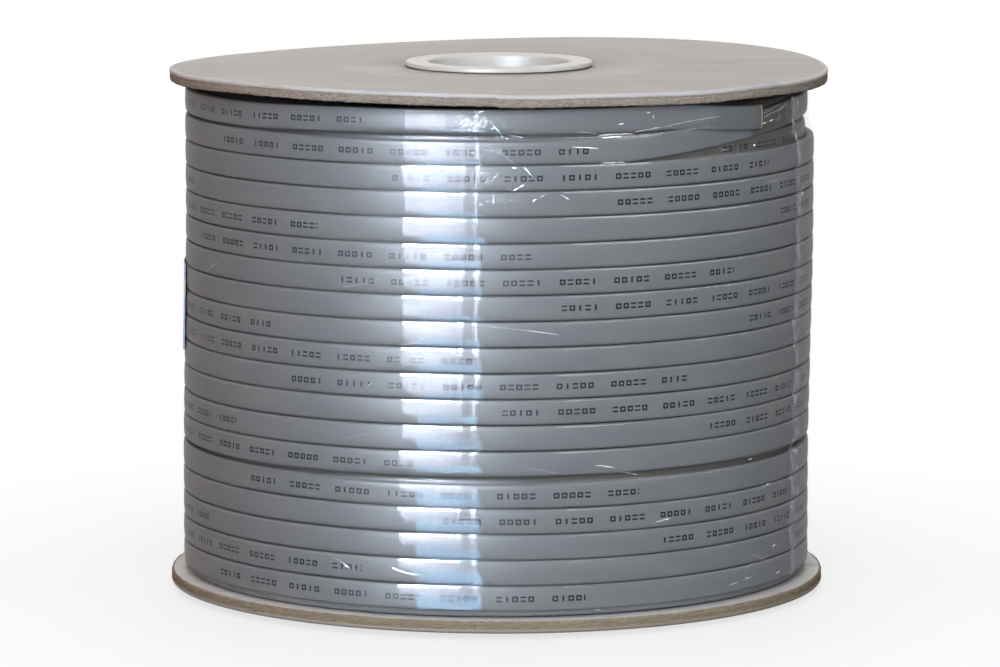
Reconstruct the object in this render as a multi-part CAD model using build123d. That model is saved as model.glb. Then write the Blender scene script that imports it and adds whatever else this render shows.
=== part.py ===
from build123d import *
import math
import os

# Six-core flat telephone cable, wound on a shipping reel: two laminated board
# flanges on a paper core tube, a plastic bushing pressed into each flange, the
# wound cable, its stretch film and a label. Millimetres, +Z up along the arbor.
# Angles are degrees to the right of the front, which faces -Y.

# ---- reel ----
flange_d = 177.8
reel_width = 139.7          # over both boards, without the bushing rims
board_t = 3.2
edge_roll = 0.8             # the die-cut edge of a board is rolled over outside
core_d = 69.0
core_wall = 3.0

# ---- bushings ----
arbor_bore_d = 38.1
sleeve_wall = 2.2
sleeve_depth = 22.0
rim_d = 50.5
rim_t = 1.5
rim_bevel = 0.5
bushing_fit = 0.05

# ---- cable ----
cable_w = 6.76
cable_t = 2.4
edge_bevel = 0.8            # the jacket's rounded edges
wire_d = 0.98
conductor_d = 0.48
wire_pitch = 1.06
wire_sides = 12
wire_colours = ["white", "black", "red", "green", "yellow", "blue"]
stub_length = 6.0

# ---- winding ----
rim_margin = 3.9            # board that stands out beyond the last layer
side_gap = 0.3              # between the turns and the boards
top_gap = 1.2               # the last turn lies a little off the one before it
slack_gap = 1.1             # one pair of turns was wound slightly apart
slack_place = 0.75          # how far down the winding that is
facet_count = 50            # flat facets in one turn
level_reach = 144.0         # turns are level this far to either side of the front
rise_start = 24.0           # the last turn leaves its row here
rise_end = 130.0
sink = 1.8                  # and drops this far below the turns beside it
sink_end = 50.0
end_angle = 54.7            # the cut end, which lies over the rising turn
sag_start = 30.0
end_sag = 2.0

# ---- film and label ----
film_t = 0.2                # the last wraps, where they stand off the turns
film_gap = 0.1
film_margin = 0.8           # short of each board
tail_edge = 72.0            # the film's free end, right of the front
tail_sweep = 46.0
tail_bead_w = 1.6           # the end is bunched into a thin bead
tail_bead_t = 0.6
label_t = 0.3
label_gap = 0.1
label_h = 23.5
label_top = 84.2            # above the lower board
label_edge = -87.0          # its free edge, at the left side
label_sweep = 42.0
label_curl = 6.0
label_lift = 0.8            # the free edge stands off the turns

flange_r = flange_d / 2
core_r = core_d / 2
bore_r = arbor_bore_d / 2
sleeve_r = bore_r + sleeve_wall
rim_r = rim_d / 2

floor_z = rim_t + board_t
ceiling_z = rim_t + reel_width - board_t
mid_z = (floor_z + ceiling_z) / 2

layers = int((flange_r - rim_margin - core_r) / cable_t)
wound_r = core_r + layers * cable_t
lower_r = wound_r - cable_t
root_r = lower_r - cable_t / 2
wind_bottom = floor_z + side_gap
wind_top = ceiling_z - side_gap
row_count = int((wind_top - wind_bottom - top_gap - slack_gap) / cable_w)
slack_row = int(row_count * slack_place)
back_arc = 360 - 2 * level_reach


def plane_at(angle):
    """The half plane through Z at this angle, x outward and y up."""
    a = math.radians(angle - 90)
    return Plane(origin=(0, 0, 0), x_dir=(math.cos(a), math.sin(a), 0), z_dir=(math.sin(a), -math.cos(a), 0))


def turned(points):
    """An outline of (radius, height) points turned about Z."""
    return revolve(make_face(plane_at(0) * Polyline(*points, close=True)), axis=Axis.Z)


def stations(start, end):
    """The start, the corners that every turn shares, and the end."""
    step = 360 / facet_count
    corners = range(math.floor(start / step) + 1, math.ceil(end / step))
    return [start] + [corner * step for corner in corners] + [end]


def facet(corners):
    return Face(Wire.make_polygon(corners))


def drawn(points_at, start, end):
    """A form of flat facets, drawn through the outline that it has at each station."""
    rings = [
        [plane_at(angle).from_local_coords(Vector(r, z)) for r, z in points_at(angle)]
        for angle in stations(start, end)
    ]
    faces = [facet(rings[0]), facet(rings[-1])]
    for near, far in zip(rings, rings[1:]):
        for i in range(len(near)):
            a, b, c, d = near[i - 1], near[i], far[i], far[i - 1]
            normal = (b - a).cross(d - a).normalized()
            flat = abs(normal.dot(c - a)) < 1e-6
            faces += [facet([a, b, c, d])] if flat else [facet([a, b, c]), facet([a, c, d])]
    return Solid(Shell(faces))


def ramp(value, start, end):
    """0 before start, 1 after end, and smooth between."""
    s = min(max((value - start) / (end - start), 0.0), 1.0)
    return s * s * (3 - 2 * s)


def box_points(r0, r1, z0, z1):
    return [(r0, z0), (r1, z0), (r1, z1), (r0, z1)]


# ---- the cable's turns ----

def row_top(row):
    """Top edge of a level turn. Row 1 is the last one, under the upper board."""
    if row == 1:
        return wind_top
    drop = top_gap + (row - 1) * cable_w + (slack_gap if row > slack_row else 0)
    return wind_top - drop


def turns(tops, outer_r=wound_r):
    """Outline of turns that touch, with bevelled edges, from their top edges."""
    points = [(root_r, tops[0])]
    for top in tops:
        points += [(outer_r - edge_bevel, top), (outer_r, top - edge_bevel)]
        points += [(outer_r, top - cable_w + edge_bevel)]
    bottom = tops[-1] - cable_w
    return points + [(outer_r - edge_bevel, bottom), (root_r, bottom)]


def level_rows(first, last, start=-level_reach, end=level_reach):
    return drawn(lambda angle: turns([row_top(row) for row in range(first, last + 1)]), start, end)


def stepping_rows(first, last):
    """At the back each of these turns climbs into the row above."""
    def points_at(angle):
        s = ramp(angle, level_reach, level_reach + back_arc)
        return turns([row_top(r) + s * (row_top(r - 1) - row_top(r)) for r in range(first, last + 1)])
    return drawn(points_at, level_reach, level_reach + back_arc)


def rising_turn(angle):
    """The last turn, from the second row up to the first and back out."""
    u = min(max((angle - rise_start) / (rise_end - rise_start), 0.0), 1.0)
    top = row_top(2) + (row_top(1) - row_top(2)) * math.sin(u * math.pi / 2)
    down = ramp(angle, rise_start, sink_end) - ramp(angle, level_reach, level_reach + back_arc)
    return turns([top], wound_r - sink * down)


def first_turn(angle):
    """The outer layer's first turn, as it comes up from the layer below."""
    s = ramp(angle, level_reach, level_reach + back_arc)
    low_top = wind_bottom + cable_w
    return turns([low_top + s * (row_top(row_count) - low_top)], lower_r + s * cable_t)


def end_turn(angle):
    return turns([row_top(1) - end_sag * ramp(angle, sag_start, end_angle)])


def end_frame(index):
    """Where a wire comes out of the cut end, looking back along the cable."""
    a = math.radians(end_angle - 90)
    r = wound_r - cable_t / 2
    z = row_top(1) - end_sag - cable_w / 2 + (index - (len(wire_colours) - 1) / 2) * wire_pitch
    return Plane(
        origin=(r * math.cos(a), r * math.sin(a), z),
        x_dir=(0, 0, 1),
        z_dir=(math.sin(a), -math.cos(a), 0),
    )


def stub(diameter, index):
    return end_frame(index) * extrude(RegularPolygon(diameter / 2, wire_sides), stub_length)


def cable_winding():
    lower_layers = Plane.XY.offset(wind_bottom) * RegularPolygon(lower_r, facet_count, rotation=-90)
    winding = extrude(lower_layers, wind_top - wind_bottom) - turned(box_points(0, core_r, 0, ceiling_z))
    winding += level_rows(3, slack_row)
    winding += level_rows(slack_row + 1, row_count)
    winding += level_rows(2, 2, end=rise_start)
    winding += level_rows(1, 1, end=sag_start)
    winding += drawn(end_turn, sag_start, end_angle)
    winding += drawn(rising_turn, rise_start, level_reach + back_arc)
    winding += stepping_rows(3, slack_row)
    winding += stepping_rows(slack_row + 1, slack_row + 1)
    winding += stepping_rows(slack_row + 2, row_count)
    winding += drawn(first_turn, level_reach, level_reach + back_arc)
    for index in range(len(wire_colours)):
        winding -= stub(wire_d, index)
    return winding


# ---- the reel ----

def board():
    """Lower board: its rolled edge is underneath."""
    disc = turned(box_points(sleeve_r + bushing_fit, flange_r, floor_z - board_t, floor_z))
    rim = disc.edges().group_by(Axis.Z)[0].sort_by(SortBy.LENGTH)[-1]
    return chamfer(rim, edge_roll)


def core_tube():
    return turned(box_points(core_r - core_wall, core_r, floor_z, ceiling_z))


def bushing():
    """Lower bushing: its rim lies under the board, its sleeve points up."""
    tip = rim_t + sleeve_depth
    profile = [
        (bore_r, 0),
        (rim_r - rim_bevel, 0),
        (rim_r, rim_bevel),
        (rim_r, rim_t),
        (sleeve_r, rim_t),
        (sleeve_r, tip),
        (bore_r, tip),
    ]
    return turned(profile)


def upper(piece):
    return piece.mirror(Plane.XY.offset(mid_z))


# ---- film and label ----

def film_band(thickness):
    """Section of the film's end: its upper band is drawn in over the sunken turn."""
    bottom = floor_z + film_margin
    top = ceiling_z - film_margin
    shoulder = row_top(3)
    waist = (shoulder + top) / 2
    outer_r = wound_r + film_gap
    inner = [(outer_r, bottom), (outer_r, shoulder), (outer_r - sink, waist), (outer_r - sink, top)]
    return inner + [(r + thickness, z) for r, z in reversed(inner)]


def film_tail():
    bead_end = tail_edge + math.degrees(tail_bead_w / wound_r)
    tail = drawn(lambda angle: film_band(film_t), tail_edge, tail_edge + tail_sweep)
    return tail + drawn(lambda angle: film_band(tail_bead_t), tail_edge, bead_end)


def label_points(angle):
    lift = label_lift * ramp(angle, label_edge - label_curl, label_edge)
    r = wound_r + label_gap + lift
    top = floor_z + label_top
    return box_points(r, r + label_t, top - label_h, top)


def label():
    curl_start = label_edge - label_curl
    return drawn(label_points, label_edge - label_sweep, curl_start) + drawn(label_points, curl_start, label_edge)


# ---- pieces ----

pieces = {
    "lower_flange": board(),
    "upper_flange": upper(board()),
    "core_tube": core_tube(),
    "lower_bushing": bushing(),
    "upper_bushing": upper(bushing()),
    "cable_winding": cable_winding(),
    "film_tail": film_tail(),
    "reel_label": label(),
}
for index, colour in enumerate(wire_colours):
    pieces[f"{colour}_insulation"] = stub(wire_d, index) - stub(conductor_d, index)
    pieces[f"{colour}_conductor"] = stub(conductor_d, index)

os.makedirs("parts", exist_ok=True)
for name, piece in pieces.items():
    export_step(piece, f"parts/{name}.step")
print("layers", layers, "rows", row_count, "cable metres", round(
    math.pi * (wound_r ** 2 - core_r ** 2) * (wind_top - wind_bottom) / (cable_w * cable_t) / 1000))
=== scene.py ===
# Flat telephone cable on a shipping reel.
# Lengths are in millimetres and angles in degrees to the right of the front,
# until place() turns them into the frame's metres.
import math
import random

import bpy
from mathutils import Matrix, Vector, noise


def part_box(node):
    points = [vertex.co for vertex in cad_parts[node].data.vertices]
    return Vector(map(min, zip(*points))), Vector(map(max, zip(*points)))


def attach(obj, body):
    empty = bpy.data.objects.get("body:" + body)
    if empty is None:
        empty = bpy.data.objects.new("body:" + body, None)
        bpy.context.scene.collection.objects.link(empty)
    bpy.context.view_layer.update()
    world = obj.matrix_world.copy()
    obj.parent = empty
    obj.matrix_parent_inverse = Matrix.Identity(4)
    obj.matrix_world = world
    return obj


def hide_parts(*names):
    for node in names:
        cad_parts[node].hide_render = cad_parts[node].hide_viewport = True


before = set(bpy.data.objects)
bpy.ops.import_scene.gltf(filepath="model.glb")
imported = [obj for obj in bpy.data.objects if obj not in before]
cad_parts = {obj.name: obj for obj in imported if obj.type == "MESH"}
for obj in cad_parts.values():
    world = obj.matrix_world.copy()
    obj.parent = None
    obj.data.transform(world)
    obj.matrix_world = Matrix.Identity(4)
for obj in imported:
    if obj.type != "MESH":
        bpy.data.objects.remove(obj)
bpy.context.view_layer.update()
mm = 0.001

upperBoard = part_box("upper_flange")
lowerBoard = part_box("lower_flange")
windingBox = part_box("cable_winding")
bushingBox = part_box("upper_bushing")
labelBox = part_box("reel_label")

reel = {
    "radius": -upperBoard[0].y / mm,
    "floor": lowerBoard[1].z / mm,
    "ceiling": upperBoard[0].z / mm,
    "top": upperBoard[1].z / mm,
    "bottom": lowerBoard[0].z / mm,
    "coreRadius": -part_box("core_tube")[0].y / mm,
    "woundRadius": -windingBox[0].y / mm,
    "windBottom": windingBox[0].z / mm,
    "windTop": windingBox[1].z / mm,
}
print("frame loaded", {name: round(value, 2) for name, value in reel.items()})


def place(angle, radius, height):
    a = math.radians(angle)
    return Vector((radius * math.sin(a), -radius * math.cos(a), height)) * mm


def ramp(value, start, end):
    s = min(max((value - start) / (end - start), 0.0), 1.0)
    return s * s * (3 - 2 * s)


def wobble(x, y=0.0, z=0.0):
    return noise.noise(Vector((x, y, z)))


def stepsBetween(start, end, step):
    count = max(1, round((end - start) / step))
    return [start + (end - start) * i / count for i in range(count + 1)]


def makePiece(name, points, faces, materials, uvs=None, faceMaterials=None, replaced=()):
    mesh = bpy.data.meshes.new(name)
    mesh.from_pydata(points, [], faces)
    for material in materials:
        mesh.materials.append(material)
    if faceMaterials:
        mesh.polygons.foreach_set("material_index", faceMaterials)
    if uvs:
        layer = mesh.uv_layers.new(name="along")
        for loop in mesh.loops:
            layer.data[loop.index].uv = uvs[loop.vertex_index]
    mesh.shade_smooth()
    piece = bpy.data.objects.new(name, mesh)
    bpy.context.scene.collection.objects.link(piece)
    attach(piece, "root")
    if replaced:
        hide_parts(*replaced)
    return piece


# Quads between rings of points that follow each other.
def joinRings(ringCount, ringSize, around=False, closed=True):
    faces = []
    for i in range(ringCount if around else ringCount - 1):
        a, b = i * ringSize, (i + 1) % ringCount * ringSize
        for j in range(ringSize if closed else ringSize - 1):
            k = (j + 1) % ringSize
            faces.append((a + j, a + k, b + k, b + j))
    return faces


# A closed profile turned all the way round; profileAt gives (radius, height) points.
def lathe(profileAt, steps):
    points = []
    for i in range(steps):
        ring = [place(360 * i / steps, r, z) for r, z in profileAt(360 * i / steps)]
        points += ring
    return points, joinRings(steps, len(ring), around=True)


# An sRGB hex colour as the linear colour that Blender's sockets hold.
def hexColour(text):
    channels = [int(text[i:i + 2], 16) / 255 for i in (1, 3, 5)]
    linear = [c / 12.92 if c <= 0.04045 else ((c + 0.055) / 1.055) ** 2.4 for c in channels]
    return (*linear, 1.0)


# One node with its settings and links; give names the output that comes back, into the socket
# it feeds.
def addNode(tree, kind, inputs=None, give=None, into=None, **settings):
    node = tree.nodes.new("ShaderNode" + kind)
    for key, value in settings.items():
        setattr(node, key, value)
    for socket, value in (inputs or {}).items():
        if isinstance(value, bpy.types.NodeSocket):
            tree.links.new(value, node.inputs[socket])
        else:
            node.inputs[socket].default_value = value
    if into is not None:
        tree.links.new(node.outputs[give], into)
    return node if give is None else node.outputs[give]


# A material with one shader, whose constants are in values.
def newMaterial(name, values=None):
    material = bpy.data.materials.new(name)
    material.use_nodes = True
    tree = material.node_tree
    tree.nodes.clear()
    output = addNode(tree, "OutputMaterial")
    shader = addNode(tree, "BsdfPrincipled", values)
    tree.links.new(shader.outputs["BSDF"], output.inputs["Surface"])
    return material, tree, shader


# Soft patches that are so many millimetres long, deep and high, worth least outside and most inside.
def patches(tree, size, low, high, least=0.0, most=1.0, detail=3.0):
    where = addNode(tree, "TexCoord", None, "Object")
    spot = addNode(tree, "Mapping", {"Vector": where, "Scale": [1 / (s * mm) for s in size]}, "Vector")
    cloud = addNode(tree, "TexNoise", {
        "Vector": spot, "Scale": 1.0, "Detail": detail, "Roughness": 0.55,
    }, "Fac")
    return addNode(tree, "MapRange", {
        "Value": cloud, "From Min": low, "From Max": high, "To Min": least, "To Max": most,
    }, "Result", interpolation_type="SMOOTHSTEP")


# The base colour: each layer's colour lies over those before it, where its mask says.
def layColours(tree, shader, base, layers):
    colour = hexColour(base)
    for mask, over in layers:
        colour = addNode(tree, "Mix", {0: mask, 6: colour, 7: hexColour(over)}, 2, data_type="RGBA")
    tree.links.new(colour, shader.inputs["Base Color"])


# Grey PVC jacket, extruded: smooth and dull, with faint haze and ink marks in runs. The layers
# below are a darker, browner copy of it, painted shade for how deep they lie in the gaps.
jacket = {
    "colour": "#77797A",
    "dust": "#82827E",
    # the layers below: a darker, browner copy of the jacket, painted shade
    "belowPaintedShadeColour": "#55504A",
    "belowDustInPaintedShade": "#5F584E",
    "cutColour": "#B9B3A2",
    # a painted shadow, dark brown, on the second turn beside the cut end
    "paintedShadow": "#453F36",
    "coverOfPaintedShadow": 0.85,
    "ink": "#08090A",
    "inkCover": 0.88,
    "roughness": 0.38,
    "ior": 1.53,
    "gloss": 0.03,           # the film over it has the gloss
    "markPitch": 2.1,        # from one mark to the next along the cable
    "markWidth": 1.56,
    "markHeight": 1.5,
    "strokeWidth": 0.46,
    "barHalfWidth": 0.276,
    "boxesBelow": 0.5,       # of a draw from 0 to 1; the rest are dashes
    "barsAbove": 0.78,
    "groupSize": 7.0,        # five marks and two blanks
    "groupMarks": 5.0,
    "runPitch": 252.5,       # from one run of marks to the next
    "runLength": 112.0,
    "runStart": 125.0,
    "runCode": 97.0,         # so that each run has its own draws
}


# The last argument, if given, is the stretch of cable, in millimetres, that gets a painted shadow.
def jacketMaterial(name, colour, dust, stretchWithPaintedShadow=None):
    j = jacket
    values = {"Roughness": j["roughness"], "IOR": j["ior"], "Specular IOR Level": j["gloss"]}
    material, tree, shader = newMaterial(name, values)
    uv = addNode(tree, "SeparateXYZ", {"Vector": addNode(tree, "UVMap", None, "UV", uv_map="along")}).outputs
    along = addNode(tree, "Math", {0: uv["X"], 1: 1 / mm, 2: -j["runStart"]}, 0, operation="MULTIPLY_ADD")
    across = addNode(tree, "Math", {0: uv["Y"], 1: 1 / mm}, 0, operation="MULTIPLY")      # 0 in the middle
    absY = addNode(tree, "Math", {0: across}, 0, operation="ABSOLUTE")

    # which run and mark this is, and how far it is from the mark's middle
    inRun = addNode(tree, "Math", {0: along, 1: j["runPitch"]}, 0, operation="FLOORED_MODULO")
    run = addNode(tree, "Math", {0: along, 1: j["runPitch"]}, 0, operation="DIVIDE")
    run = addNode(tree, "Math", {0: run}, 0, operation="FLOOR")
    cell = addNode(tree, "Math", {0: inRun, 1: j["markPitch"]}, 0, operation="DIVIDE")
    number = addNode(tree, "Math", {0: cell}, 0, operation="FLOOR")
    inGroup = addNode(tree, "Math", {0: number, 1: j["groupSize"]}, 0, operation="FLOORED_MODULO")
    absX = cell
    steps = (("FRACT", 0.0), ("SUBTRACT", 0.5), ("ABSOLUTE", 0.0), ("MULTIPLY", j["markPitch"]))
    for operation, amount in steps:
        absX = addNode(tree, "Math", {0: absX, 1: amount}, 0, operation=operation)

    # a mark is a hollow box, a bar or two dashes
    code = addNode(tree, "Math", {0: run, 1: j["runCode"], 2: number}, 0, operation="MULTIPLY_ADD")
    draw = addNode(tree, "TexWhiteNoise", {"W": code}, "Value", noise_dimensions="1D")
    isBox = addNode(tree, "Math", {0: draw, 1: j["boxesBelow"]}, 0, operation="LESS_THAN")
    isBar = addNode(tree, "Math", {0: draw, 1: j["barsAbove"]}, 0, operation="GREATER_THAN")
    notBar = addNode(tree, "Math", {0: 1.0, 1: isBar}, 0, operation="SUBTRACT")
    halfWidth, halfHeight = j["markWidth"] / 2, j["markHeight"] / 2
    sides = addNode(tree, "Math", {0: absX, 1: halfWidth - j["strokeWidth"]}, 0, operation="GREATER_THAN")
    ends = addNode(tree, "Math", {0: absY, 1: halfHeight - j["strokeWidth"]}, 0, operation="GREATER_THAN")
    middle = addNode(tree, "Math", {0: absX, 1: j["barHalfWidth"]}, 0, operation="LESS_THAN")
    ink = 0.0
    for stroke, drawn in ((sides, isBox), (ends, notBar), (middle, isBar)):
        stroke = addNode(tree, "Math", {0: stroke, 1: drawn}, 0, operation="MULTIPLY")
        ink = addNode(tree, "Math", {0: ink, 1: stroke}, 0, operation="MAXIMUM")
    for value, limit in (
        (absX, halfWidth), (absY, halfHeight), (inGroup, j["groupMarks"] - 0.5), (inRun, j["runLength"]),
    ):
        within = addNode(tree, "Math", {0: value, 1: limit}, 0, operation="LESS_THAN")
        ink = addNode(tree, "Math", {0: ink, 1: within}, 0, operation="MULTIPLY")
    worn = patches(tree, (0.5, 0.5, 0.5), 0.30, 0.55, j["inkCover"], 1.0)
    ink = addNode(tree, "Math", {0: ink, 1: worn}, 0, operation="MULTIPLY")

    layers = [(patches(tree, (18, 18, 5), 0.40, 0.75, most=0.5), dust), (ink, j["ink"])]
    # a painted shadow over the given stretch, fading in at its ends
    if stretchWithPaintedShadow:
        start, end = (value * mm for value in stretchWithPaintedShadow)
        paintedShadow = 1.0
        for low, high, least, most in (
            (start - 3 * mm, start, 0.0, 1.0), (end - 2 * mm, end + 4 * mm, j["coverOfPaintedShadow"], 0.0),
        ):
            edge = addNode(tree, "MapRange", {
                "Value": uv["X"], "From Min": low, "From Max": high, "To Min": least, "To Max": most,
            }, "Result")
            paintedShadow = addNode(tree, "Math", {0: paintedShadow, 1: edge}, 0, operation="MULTIPLY")
        layers.insert(1, (paintedShadow, j["paintedShadow"]))
    layColours(tree, shader, colour, layers)
    ripple = patches(tree, (9, 9, 1.2), 0.2, 0.8)
    addNode(tree, "Bump", {"Height": ripple, "Distance": 0.01 * mm}, "Normal", shader.inputs["Normal"])
    return material


# Greyboard laminated with white paper: matt, streaked by handling, its cut edge bare and fibrous.
board = {
    "liner": "#ADA8A3",
    "linerStreak": "#BBB7B2",
    "smudge": "#989CA2",
    "lip": "#C6C3BF",
    "core": "#A89C8D",
    "coreLight": "#B8AE9F",
    "coreDark": "#81766A",
    "fleck": "#4E463C",
    # the lower board's core: the same greyboard painted browner, as painted warm light bounced up onto it
    "lowerCore": "#97896F",
    "lowerCoreLight": "#A79A82",
    "inner": "#CFCBC5",
    # the lower board's rolled lip, at its foot, is given a darker brown than its core
    "lowerLipTone": "#7A6D5E",
    "linerRoughness": 0.68,
    "linerGloss": 0.12,
    "coreRoughness": 0.9,
    "coreGloss": 0.05,
    "lipHeight": 1.0,
    "lipRadius": 0.8,
    "warpFront": 0.5,
    "warpBack": 1.2,
    "warpBelow": 0.12,
    "frontLift": 0.62,
    "heldAt": (3, 36),       # degrees, where the cable holds the front edge down
    "heldWidth": 9,
    "heldShare": 0.45,
    "tear": 0.26,
    "lowerShift": 0.6,
    "lowerTrim": 0.25,
}


def linerMaterial(name, base):
    material, tree, shader = newMaterial(name, {
        "Roughness": board["linerRoughness"], "Specular IOR Level": board["linerGloss"],
    })
    streaks = patches(tree, (60, 3, 8), 0.42, 0.68, most=0.5)
    smudges = patches(tree, (26, 9, 9), 0.56, 0.74, most=0.5)
    specks = patches(tree, (0.9, 0.9, 0.9), 0.70, 0.78, most=0.35, detail=1.0)
    layers = [(streaks, board["linerStreak"]), (smudges, board["smudge"]), (specks, board["coreDark"])]
    layColours(tree, shader, base, layers)
    grain = patches(tree, (1.4, 1.4, 1.4), 0.2, 0.8)
    addNode(tree, "Bump", {"Height": grain, "Distance": 0.03 * mm}, "Normal", shader.inputs["Normal"])
    return material


def coreMaterial(name, pale, light):
    material, tree, shader = newMaterial(name, {
        "Roughness": board["coreRoughness"], "Specular IOR Level": board["coreGloss"],
    })
    plies = patches(tree, (14, 14, 0.45), 0.35, 0.7, most=0.6)
    fibre = patches(tree, (1.6, 1.6, 0.5), 0.42, 0.66, detail=5.0)
    fibres = addNode(tree, "Math", {0: fibre, 1: 0.45}, 0, operation="MULTIPLY")
    flecks = patches(tree, (0.55, 0.55, 0.35), 0.60, 0.70, most=0.6, detail=1.0)
    layers = [(plies, light), (fibres, board["coreDark"]), (flecks, board["fleck"])]
    layColours(tree, shader, pale, layers)
    addNode(tree, "Bump", {"Height": fibre, "Distance": 0.12 * mm}, "Normal", shader.inputs["Normal"])
    return material


# Stretch film, cast polyethylene: clear, so only the gloss of its faces shows, a small share
# of what a mirror would give back. The outer ply is bright, the ply under it hazy, and the
# creases are whiter than either.
film = {
    "clear": "#F2F5F7",
    "hazy": "#EEF1F5",
    "gathered": "#C6CCD4",
    "creased": "#F4F6F8",
    # its gloss turns to this brown at grazing angles: a painted reflection
    "edge": "#5E4C3C",
    "share": 0.0042,
    "slackShare": 0.006,
    "foldShare": 0.35,
    "lineWhite": 0.12,
    "roughness": 0.016,
    "hazeShare": 0.018,
    "hazeRoughness": 0.42,
    "gatheredShare": 0.055,
    "gatheredRoughness": 0.40,
    "creaseRoughness": 0.22,
    "beadShare": 0.50,
    "foldGlint": 0.7,
    "margin": 0.8,           # short of each board
    "clearance": 0.12,
    "hazeClearance": 0.05,
    "endClearance": 0.26,
    "creaseClearance": 0.18,
    "crown": 0.12,
    "seamDip": 0.34,
    "seamHalf": 0.50,
    "seamReach": 4.0,
    # how much of the gloss over a closed seam is taken away, as painted shade
    "seamShadeShare": 0.92,
    "gapDip": 0.75,
    "closedGap": 0.3,
    "frontRise": 0.7,        # it stands this far over the first turn in front, more than at the sides
    "sideRise": 0.5,
    "rimDip": 1.5,           # drawn in over the first turn, and less under the last
    "footDip": 1.2,
    "endAngle": 67.0,
    "endReach": 50.0,
    "perDegree": 1.48,       # millimetres round the turns
    "fineReach": 6.4,        # degrees with close columns
    "beadWide": 4.2,
    "beadHeight": 0.4,
    "foldPlace": 6.6,        # a fold beside the bead
    "foldHalf": 1.1,
    "foldHeight": 0.25,
    "flutter": 0.12,
}


# What every kind of film shares. Its UV map holds how folded it is, and where painted shade takes its gloss
# away.
# its gloss turns to the edge colour at grazing angles, a painted brown reflection
def filmBase(name, colour, roughness, edge=film["edge"]):
    material, tree, shader = newMaterial(name, {
        "Base Color": hexColour(colour), "Metallic": 1.0,
        "Roughness": roughness, "Specular Tint": hexColour(edge),
    })
    uv = addNode(tree, "SeparateXYZ", {"Vector": addNode(tree, "UVMap", None, "UV", uv_map="along")}).outputs
    return material, tree, shader, uv


def filmMaterial():
    share = film["share"]
    material, tree, shader, uv = filmBase("clearStretchFilm", film["clear"], film["roughness"])
    streaks = patches(tree, (9, 9, 0.34), 0.36, 0.64, 0.4 * share, 1.6 * share)     # drawn out along the wrap
    slack = patches(tree, (7, 7, 0.8), 0.64, 0.80, most=film["slackShare"], detail=2.0)
    slack = addNode(tree, "Math", {0: slack, 1: streaks}, 0, operation="ADD")
    folded = addNode(tree, "Math", {0: uv["X"], 1: film["foldShare"], 2: slack}, 0, operation="MULTIPLY_ADD")
    # the second measure takes the gloss away: painted shade in the seams and under the board
    clear = addNode(tree, "Math", {0: 1.0, 1: uv["Y"]}, 0, operation="SUBTRACT")
    addNode(tree, "Math", {0: folded, 1: clear}, 0, shader.inputs["Alpha"],
            operation="MULTIPLY", use_clamp=True)
    ripples = patches(tree, (2.2, 2.2, 0.45), 0.30, 0.75, detail=1.0)
    addNode(tree, "Bump", {"Height": ripples, "Distance": 0.004 * mm}, "Normal", shader.inputs["Normal"])
    return material


def hazyFilmMaterial():
    share = film["hazeShare"]
    material, tree, shader, uv = filmBase("hazyStretchFilm", film["hazy"], film["hazeRoughness"])
    cloud = patches(tree, (12, 12, 3), 0.35, 0.75, share, share + 0.004)
    # the second measure takes the gloss away: painted shade in the seams and under the board
    clear = addNode(tree, "Math", {0: 1.0, 1: uv["Y"]}, 0, operation="SUBTRACT")
    addNode(tree, "Math", {0: cloud, 1: clear}, 0, shader.inputs["Alpha"], operation="MULTIPLY")
    return material


# Where the film ends, several plies lie together, rucked along the edge and cloudy.
def gatheredFilmMaterial():
    share = film["gatheredShare"]
    material, tree, shader, uv = filmBase("gatheredStretchFilm", film["gathered"], film["gatheredRoughness"])
    rucks = patches(tree, (1.3, 1.3, 2.4), 0.42, 0.66, detail=4.0)
    bead = addNode(tree, "Math", {0: rucks, 1: 1.1, 2: 0.12}, 0, operation="MULTIPLY_ADD")
    bead = addNode(tree, "Math", {0: bead, 1: uv["X"]}, 0, operation="MULTIPLY")
    plies = patches(tree, (6, 6, 1.6), 0.38, 0.66, 0.4 * share, 1.5 * share)
    addNode(tree, "Math", {0: bead, 1: plies}, 0, shader.inputs["Alpha"], operation="ADD", use_clamp=True)
    addNode(tree, "Bump", {"Height": rucks, "Distance": 0.15 * mm}, "Normal", shader.inputs["Normal"])
    return material


# A crease is stretched white, in one place more than another.
def creaseMaterial():
    roughness = film["creaseRoughness"]
    material, tree, shader, uv = filmBase("creasedStretchFilm", film["creased"], roughness, "#FFFFFF")
    broken = patches(tree, (1.6, 1.6, 1.6), 0.35, 0.62, 0.4, 1.0)
    addNode(tree, "Math", {0: uv["X"], 1: broken}, 0, shader.inputs["Alpha"],
            operation="MULTIPLY", use_clamp=True)
    return material


# The small parts that a reel hides: one colour with a slight mottle of the given size.
def plainMaterial(name, colour, roughness, metallic=0.0, mottleSize=0.6):
    material, tree, shader = newMaterial(name, {"Roughness": roughness, "Metallic": metallic})
    mottle = patches(tree, (mottleSize, mottleSize, mottleSize), 0.3, 0.7)
    amount = addNode(tree, "Math", {0: mottle, 1: 0.35}, 0, operation="MULTIPLY")
    light = hexColour(colour)
    dark = (*(c * 0.8 for c in light[:3]), 1.0)
    addNode(tree, "Mix", {0: amount, 6: light, 7: dark}, 2, shader.inputs["Base Color"], data_type="RGBA")
    addNode(tree, "Bump", {"Height": mottle, "Distance": 0.02 * mm}, "Normal", shader.inputs["Normal"])
    return material


whiteLiner = linerMaterial("paperLiner", board["liner"])
lipLiner = linerMaterial("rolledLiner", board["lip"])
innerLiner = linerMaterial("innerLiner", board["inner"])
greyboard = coreMaterial("greyboardCore", board["core"], board["coreLight"])
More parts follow.
